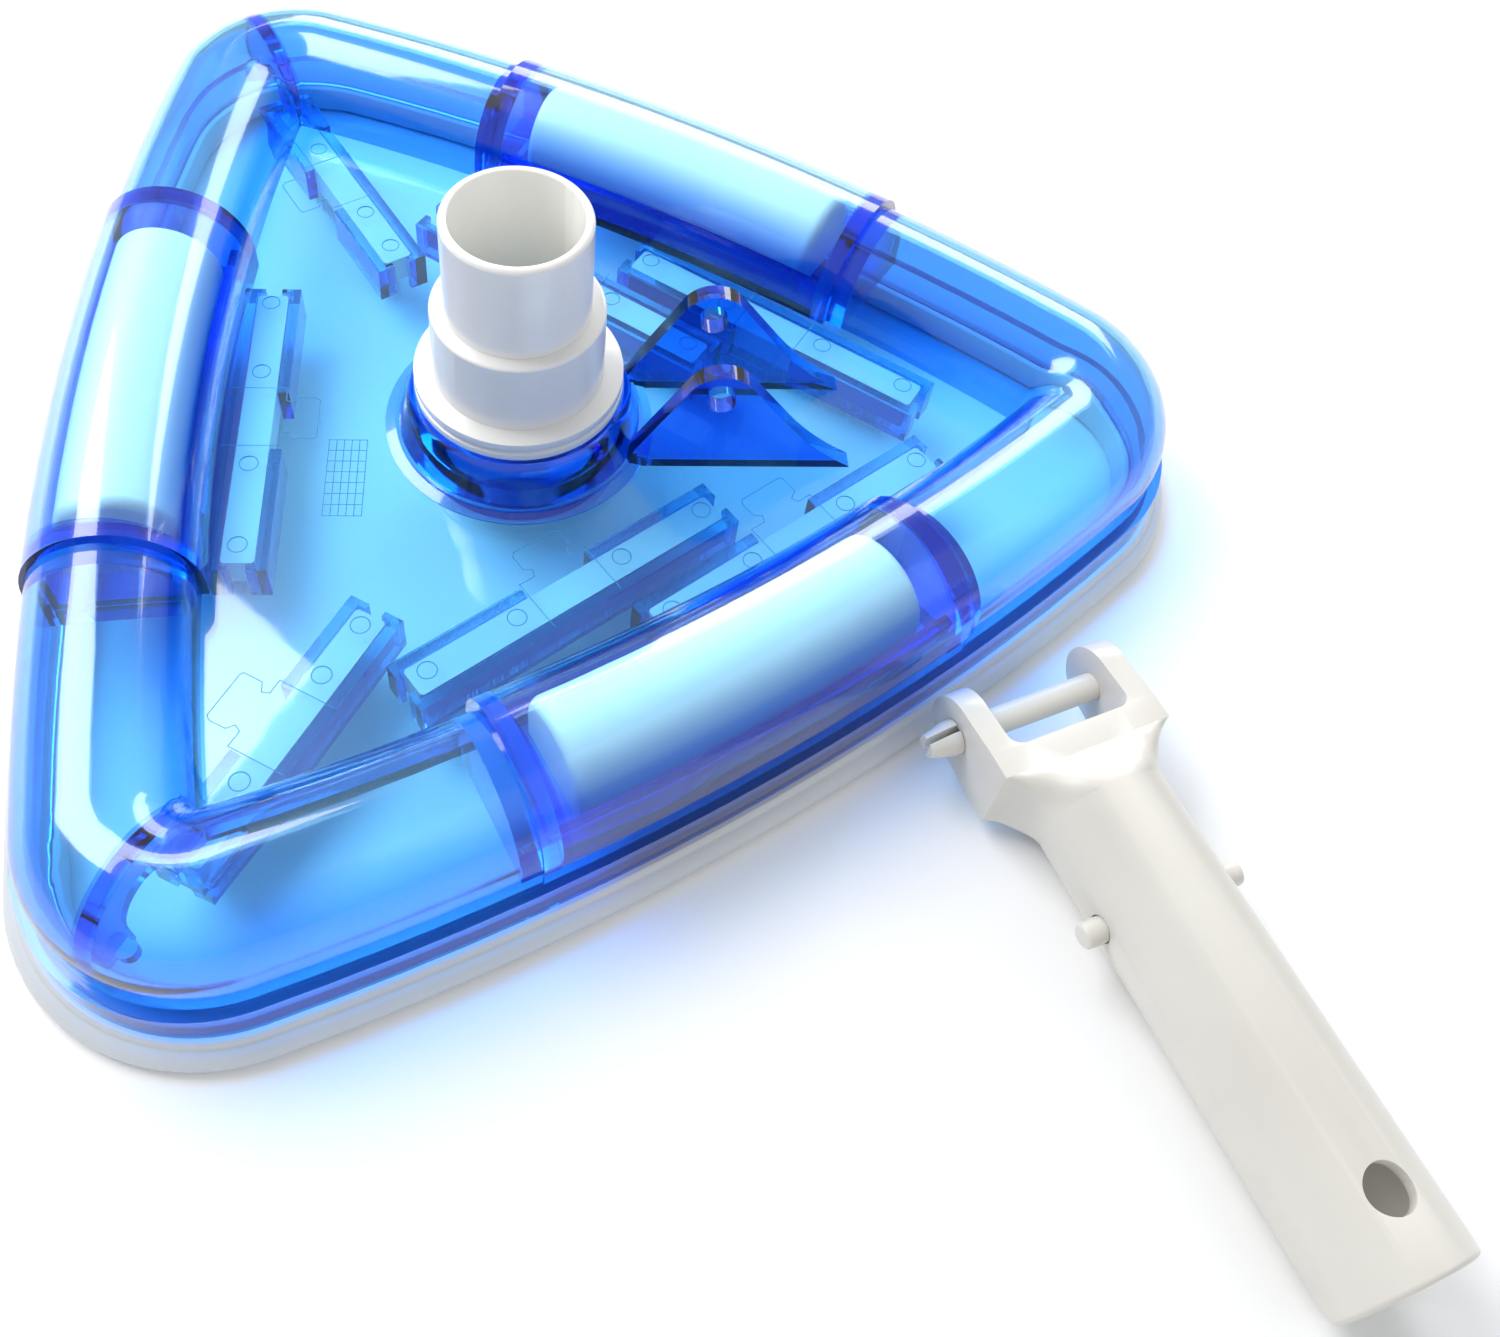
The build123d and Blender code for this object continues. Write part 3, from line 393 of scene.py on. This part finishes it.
BLUE = clear_blue("clear_blue_plastic", tint=(0.02, 0.685, 0.975), density=142.0)
TRAY_BLUE = clear_blue(
    "deep_blue_tray", tint=(0.02, 0.65, 0.985), density=400.0, surface=STEEP_TINT
)
LINE_BLUE = mould_line_blue()
WHITE = moulded(
    "white_gloss_plastic", (0.86, 0.855, 0.83), (0.81, 0.80, 0.775),
    roughness=0.22, coat=0.25, under=0.08,
)
IVORY = moulded(
    "ivory_plastic", (0.72, 0.70, 0.64), (0.67, 0.645, 0.585),
    roughness=0.3, coat=0.15, under=0.08,
)
paint_bore_light(WHITE)
WEIGHT = moulded(
    "coated_weight", (0.98, 0.98, 0.98), (0.93, 0.94, 0.95), roughness=0.38, grain=300.0
)
BUMPER = moulded(
    "soft_white_vinyl", (0.66, 0.68, 0.69), (0.60, 0.62, 0.63), roughness=0.36, under=0.1
)
BRUSH_BACK = moulded(
    "brush_back_plastic", (0.86, 0.88, 0.89), (0.78, 0.80, 0.82), roughness=0.45
)
BRISTLE = moulded(
    "nylon_bristle", (0.84, 0.87, 0.90), (0.70, 0.75, 0.80), roughness=0.35, grain=2500.0
)
WASHER = moulded("slippery_washer", (0.88, 0.88, 0.86), (0.80, 0.80, 0.78), roughness=0.3)

SLOT_MATERIALS = {
    "clear_blue": BLUE,
    "bumper": BUMPER,
    "weight": WEIGHT,
    "brush_back": BRUSH_BACK,
    "bristle": BRISTLE,
    "washer": WASHER,
    "white_gloss": WHITE,
    "ivory": IVORY,
}


# ---------------------------------------------------------------- CAD nodes
SMOOTH_UP_TO = math.radians(33)
ROUND_FROM = math.radians(40)
WELD_GAP = 0.000005
EDGE_ROUND = {
    "hose_spigot": 0.00025,
    "handle": 0.0006,
    "pivot_pin": 0.0002,
    "bumper": 0.0003,
    "swivel_retaining_ring": 0.0002,
}


def edge_softener():
    """Node group that shades smooth up to an angle."""
    group = bpy.data.node_groups.new("soft_edges", "GeometryNodeTree")
    group.interface.new_socket("Geometry", in_out="INPUT", socket_type="NodeSocketGeometry")
    group.interface.new_socket("Geometry", in_out="OUTPUT", socket_type="NodeSocketGeometry")
    add = group.nodes.new
    start, end = add("NodeGroupInput"), add("NodeGroupOutput")
    smooth = add("GeometryNodeSetShadeSmooth")
    sharp = add("GeometryNodeSetShadeSmooth")
    sharp.domain = "EDGE"
    sharp.inputs["Shade Smooth"].default_value = False
    angle = add("GeometryNodeInputMeshEdgeAngle")
    test = add("ShaderNodeMath")
    test.operation = "GREATER_THAN"
    test.inputs[1].default_value = SMOOTH_UP_TO
    join = group.links.new
    join(start.outputs[0], smooth.inputs["Geometry"])
    join(smooth.outputs[0], sharp.inputs["Geometry"])
    join(angle.outputs["Unsigned Angle"], test.inputs[0])
    join(test.outputs[0], sharp.inputs["Selection"])
    join(sharp.outputs[0], end.inputs[0])
    return group


SOFT_EDGES = edge_softener()


def soften(obj, bevel):
    """Merges the seams between CAD faces, rounds sharp edges by bevel and smooths the shading."""
    weld = obj.modifiers.new("weld", "WELD")
    weld.merge_threshold = WELD_GAP
    if bevel:
        edge = obj.modifiers.new("edge", "BEVEL")
        edge.width = bevel
        edge.segments = 2
        edge.limit_method = "ANGLE"
        edge.angle_limit = ROUND_FROM
    shade = obj.modifiers.new("shade", "NODES")
    shade.node_group = SOFT_EDGES


def dress_cad_nodes():
    for part in frame["record"]["subparts"]:
        obj = nodes[part["node"]]
        obj.data.materials.clear()
        if part["node"].startswith("weight_tray_"):
            obj.data.materials.append(TRAY_BLUE)
        else:
            obj.data.materials.append(SLOT_MATERIALS[part["material_slot"]])
        soften(obj, EDGE_ROUND.get(part["node"], 0.0))


# ---------------------------------------------------------------- pieces
def add_piece(name, verts, faces, body, material):
    """New flat-shaded mesh that rides a body."""
    mesh = bpy.data.meshes.new(name)
    mesh.from_pydata([tuple(v) for v in verts], [], faces)
    mesh.materials.append(material)
    obj = bpy.data.objects.new(name, mesh)
    bpy.context.scene.collection.objects.link(obj)
    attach(obj, body)
    return obj


def strip_frame(node):
    """Middle, directions along and across, and half sizes of a straight strip, from its CAD mesh."""
    low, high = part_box(node)
    middle = (low + high) / 2
    flat = np.array([(v.co.x - middle.x, v.co.y - middle.y) for v in nodes[node].data.vertices])
    direction = np.linalg.eigh(flat.T @ flat)[1][:, 1]
    half = np.abs(flat @ direction).max()
    half_w = np.abs(flat @ np.array([-direction[1], direction[0]])).max()
    along = Vector((direction[0], direction[1], 0.0))
    across = Vector((-direction[1], direction[0], 0.0))
    return middle, along, across, half, half_w


# ---------------------------------------------------------------- bristles
TUFT_PITCH = 0.0031
TUFT_ROWS = 2
TUFT_R = 0.0011
TUFT_MARGIN = TUFT_R * 1.3           # kept clear along the strip's sides
FILAMENTS = 22
FILAMENT_R = 0.00011
FILAMENT_TAPER = 0.45                # share of the radius lost at the tip
FILAMENT_STEPS = 3
FILAMENT_SPLAY = 0.0011
SPLAY_SHARES = (0.3, 1.0)
FILAMENT_BOW = (-0.0002, 0.0004)
ROOT_DEPTH = 0.0004                  # into the brush back
TIP_UNEVENNESS = 0.0005


def filament(verts, faces, foot, tip, bow):
    """Three-sided hair from foot to tip, bowed sideways by bow, tapering to its end."""
    first = len(verts)
    for i in range(FILAMENT_STEPS + 1):
        t = i / FILAMENT_STEPS
        point = foot.lerp(tip, t) + bow * math.sin(math.pi * t)
        size = FILAMENT_R * (1.0 - FILAMENT_TAPER * t)
        for k in range(3):
            turn = 2 * math.pi * k / 3
            verts.append(point + Vector((size * math.cos(turn), size * math.sin(turn), 0)))
    for i in range(FILAMENT_STEPS):
        for k in range(3):
            a = first + 3 * i + k
            b = first + 3 * i + (k + 1) % 3
            faces.append((a, a + 3, b + 3, b))
    last = first + 3 * FILAMENT_STEPS
    faces.append((first, first + 1, first + 2))
    faces.append((last + 2, last + 1, last))


def make_tuft(verts, faces, root, top, bottom, rng):
    """Hairs in a round bundle that splays from top down to bottom."""
    for _ in range(FILAMENTS):
        turn = rng.uniform(0, 2 * math.pi)
        reach = math.sqrt(rng.random())
        out = Vector((math.cos(turn), math.sin(turn), 0.0)) * reach
        foot = root + out * TUFT_R
        foot.z = top + ROOT_DEPTH
        tip = root + out * (TUFT_R + FILAMENT_SPLAY * rng.uniform(*SPLAY_SHARES))
        tip.z = bottom + rng.uniform(0.0, TIP_UNEVENNESS)
        bow = out * rng.uniform(*FILAMENT_BOW)
        filament(verts, faces, foot, tip, bow)


def make_bristles(node, rng):
    middle, along, across, half, half_w = strip_frame(node)
    low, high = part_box(node)
    verts, faces = [], []
    count = int(2 * half / TUFT_PITCH)
    for row in range(TUFT_ROWS):
        side = (row + 0.5) / TUFT_ROWS * 2 - 1
        for i in range(count):
            at = (i + 0.5) / count * 2 - 1
            root = middle + along * at * (half - TUFT_R) + across * side * (half_w - TUFT_MARGIN)
            make_tuft(verts, faces, root, high.z, low.z, rng)
    piece = add_piece("tufts_" + node, verts, faces, "head", BRISTLE)
    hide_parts(node)


# ---------------------------------------------------------------- raised lines on the plate
# Outline of the mould insert at the middle of each channel, in millimetres.
# x is along the channel and y is towards the hose.
INSERT_OUTLINE = [
    (-8.7, -6.6), (-8.7, 6.6), (-5.2, 6.6), (-4.6, 8.2), (-6.6, 9.4), (-6.6, 13.9), (-5.9, 14.4),
    (4.9, 14.4), (5.8, 13.4), (5.7, 9.4), (4.1, 8.2), (4.9, 6.6), (8.7, 6.6), (8.7, -6.6),
]
LINE_W = 0.00022
LINE_H = 0.00008
PLATE_OVER_BACK = 0.0027             # from the brush backs' tops up to the plate's upper face

# Ejector circles on the plate: radius, and places along each channel, in millimetres
RING_R = 2.1
SIDE_RINGS = (-36.4, -13.9, 13.9, 36.4)
CORNER_RINGS = (-27.9, -13.9, 13.9)
RING_STEPS = 20

# Grid in the plate beside the collar: first corner, cell counts and size, in millimetres
GRID_X, GRID_Y = -43.3, -28.6
GRID_COLUMNS, GRID_ROWS = 5, 7
GRID_W, GRID_H = 8.6, 21.7


def ribbon(verts, faces, path, z):
    """Thin raised line along a flat path of (x, y) points, standing on height z."""
    for a, b in zip(path, path[1:]):
        a, b = Vector(a), Vector(b)
        run = (b - a).normalized()
        side = Vector((-run.y, run.x)) * LINE_W / 2
        a, b = a - run * LINE_W / 2, b + run * LINE_W / 2
        first = len(verts)
        for level, share in ((z, 1.0), (z + LINE_H, 0.5)):
            reach = side * share
            for corner in (a + reach, b + reach, b - reach, a - reach):
                verts.append((corner.x, corner.y, level))
        for quad in ((4, 5, 6, 7), (0, 4, 7, 3), (1, 2, 6, 5), (0, 1, 5, 4), (3, 7, 6, 2), (0, 3, 2, 1)):
            faces.append(tuple(first + k for k in quad))


def channel_frame(node):
    """Middle of a channel, the direction along it and the direction across it towards the hose."""
    middle, along, across = strip_frame(node)[:3]
    if node.endswith("corner"):
        back = Vector((-1, 0, 0))
        across = back - along * back.dot(along)
        across.normalize()
        if along.dot(middle) < 0:
            along = -along
    elif across.dot(middle) > 0:
        across = -across
    return middle, along, across


def channel_lines(verts, faces, node, z):
    """The mould insert's outline and the ejector circles of one channel."""
    middle, along, across = channel_frame(node)
    path = [middle + along * x * MM + across * y * MM for x, y in INSERT_OUTLINE]
    ribbon(verts, faces, [(p.x, p.y) for p in path], z)
    for spot in CORNER_RINGS if node.endswith("corner") else SIDE_RINGS:
        eye = middle + along * spot * MM
        circle = []
        for i in range(RING_STEPS + 1):
            turn = 2 * math.pi * i / RING_STEPS
            x = eye.x + RING_R * MM * math.cos(turn)
            y = eye.y + RING_R * MM * math.sin(turn)
            circle.append((x, y))
        ribbon(verts, faces, circle, z)


def grid_lines(verts, faces, z):
    for i in range(GRID_COLUMNS + 1):
        x = (GRID_X + GRID_W * i / GRID_COLUMNS) * MM
        ribbon(verts, faces, [(x, GRID_Y * MM), (x, (GRID_Y + GRID_H) * MM)], z)
    for i in range(GRID_ROWS + 1):
        y = (GRID_Y + GRID_H * i / GRID_ROWS) * MM
        ribbon(verts, faces, [(GRID_X * MM, y), ((GRID_X + GRID_W) * MM, y)], z)


def make_mould_lines():
    plate_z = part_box("brush_back_left")[1].z + PLATE_OVER_BACK
    verts, faces = [], []
    for node in nodes:
        if node.startswith("brush_back_"):
            channel_lines(verts, faces, node, plate_z)
    grid_lines(verts, faces, plate_z)
    add_piece("mould_insert_lines", verts, faces, "head", LINE_BLUE)


# ---------------------------------------------------------------- stage
FLOOR_HALF = 3.0
FLOOR_DROP = 0.0003                  # below the part, so that the two never share a plane
FLOOR_DULL, FLOOR_BRIGHT = (0.93, 0.93, 0.93), (0.96, 0.96, 0.96)
FLOOR_STOPS, FLOOR_CLOUD_SCALE = (0.2, 0.8), 2.0
FLOOR_ROUGHNESS, FLOOR_SPECULAR = 0.9, 0.1
WORLD_COLOUR = (0.95, 0.97, 1.0)
WORLD_STRENGTH = 0.6
# Name, place, target, width and height, power in watts
LIGHTS = [
    ("overhead_left", (-0.6, 0.35, 0.9), (0, 0, 0), (0.75, 0.55), 10.4),
    ("back", (0.25, 0.95, 0.55), (0.03, 0, 0), (1.0, 0.35), 6.6),
    ("front_right", (0.9, -0.6, 0.9), (0.05, -0.05, 0), (1.2, 1.2), 1.5),
]
LIGHT_BOUNCES = 16


def make_floor():
    corners = [(-1, -1), (1, -1), (1, 1), (-1, 1)]
    mesh = bpy.data.meshes.new("floor")
    mesh.from_pydata([(x * FLOOR_HALF, y * FLOOR_HALF, 0) for x, y in corners], [], [(0, 1, 2, 3)])
    mat, shader = new_material("floor")
    cloud = noise(mat, FLOOR_CLOUD_SCALE)
    shade = ramp(mat, cloud, (FLOOR_STOPS[0], FLOOR_DULL), (FLOOR_STOPS[1], FLOOR_BRIGHT))
    mat.node_tree.links.new(shade, shader.inputs["Base Color"])
    shader.inputs["Roughness"].default_value = FLOOR_ROUGHNESS
    shader.inputs["Specular IOR Level"].default_value = FLOOR_SPECULAR
    mesh.materials.append(mat)
    floor = bpy.data.objects.new("floor", mesh)
    floor.location.z = cad_box[0][2] - FLOOR_DROP
    bpy.context.scene.collection.objects.link(floor)


def area_light(name, place, target, size, power):
    data = bpy.data.lights.new(name, "AREA")
    data.shape = "RECTANGLE"
    data.size, data.size_y = size
    data.energy = power
    light = bpy.data.objects.new(name, data)
    light.location = place
    light.rotation_euler = (Vector(target) - Vector(place)).to_track_quat("-Z", "Y").to_euler()
    bpy.context.scene.collection.objects.link(light)


def make_lights():
    world = bpy.data.worlds.new("studio")
    world.use_nodes = True
    background = world.node_tree.nodes["Background"]
    background.inputs["Color"].default_value = (*WORLD_COLOUR, 1.0)
    background.inputs["Strength"].default_value = WORLD_STRENGTH
    bpy.context.scene.world = world
    for light in LIGHTS:
        area_light(*light)


# ---------------------------------------------------------------- scene
BRISTLE_SEED = 7

make_camera()
dress_cad_nodes()
rng = random.Random(BRISTLE_SEED)
for node_name in sorted(nodes):
    if node_name.startswith("bristles_"):
        make_bristles(node_name, rng)
make_mould_lines()
make_floor()
make_lights()

bpy.context.scene.view_settings.view_transform = "Standard"
bpy.context.scene.cycles.max_bounces = LIGHT_BOUNCES
bpy.context.scene.cycles.transmission_bounces = LIGHT_BOUNCES
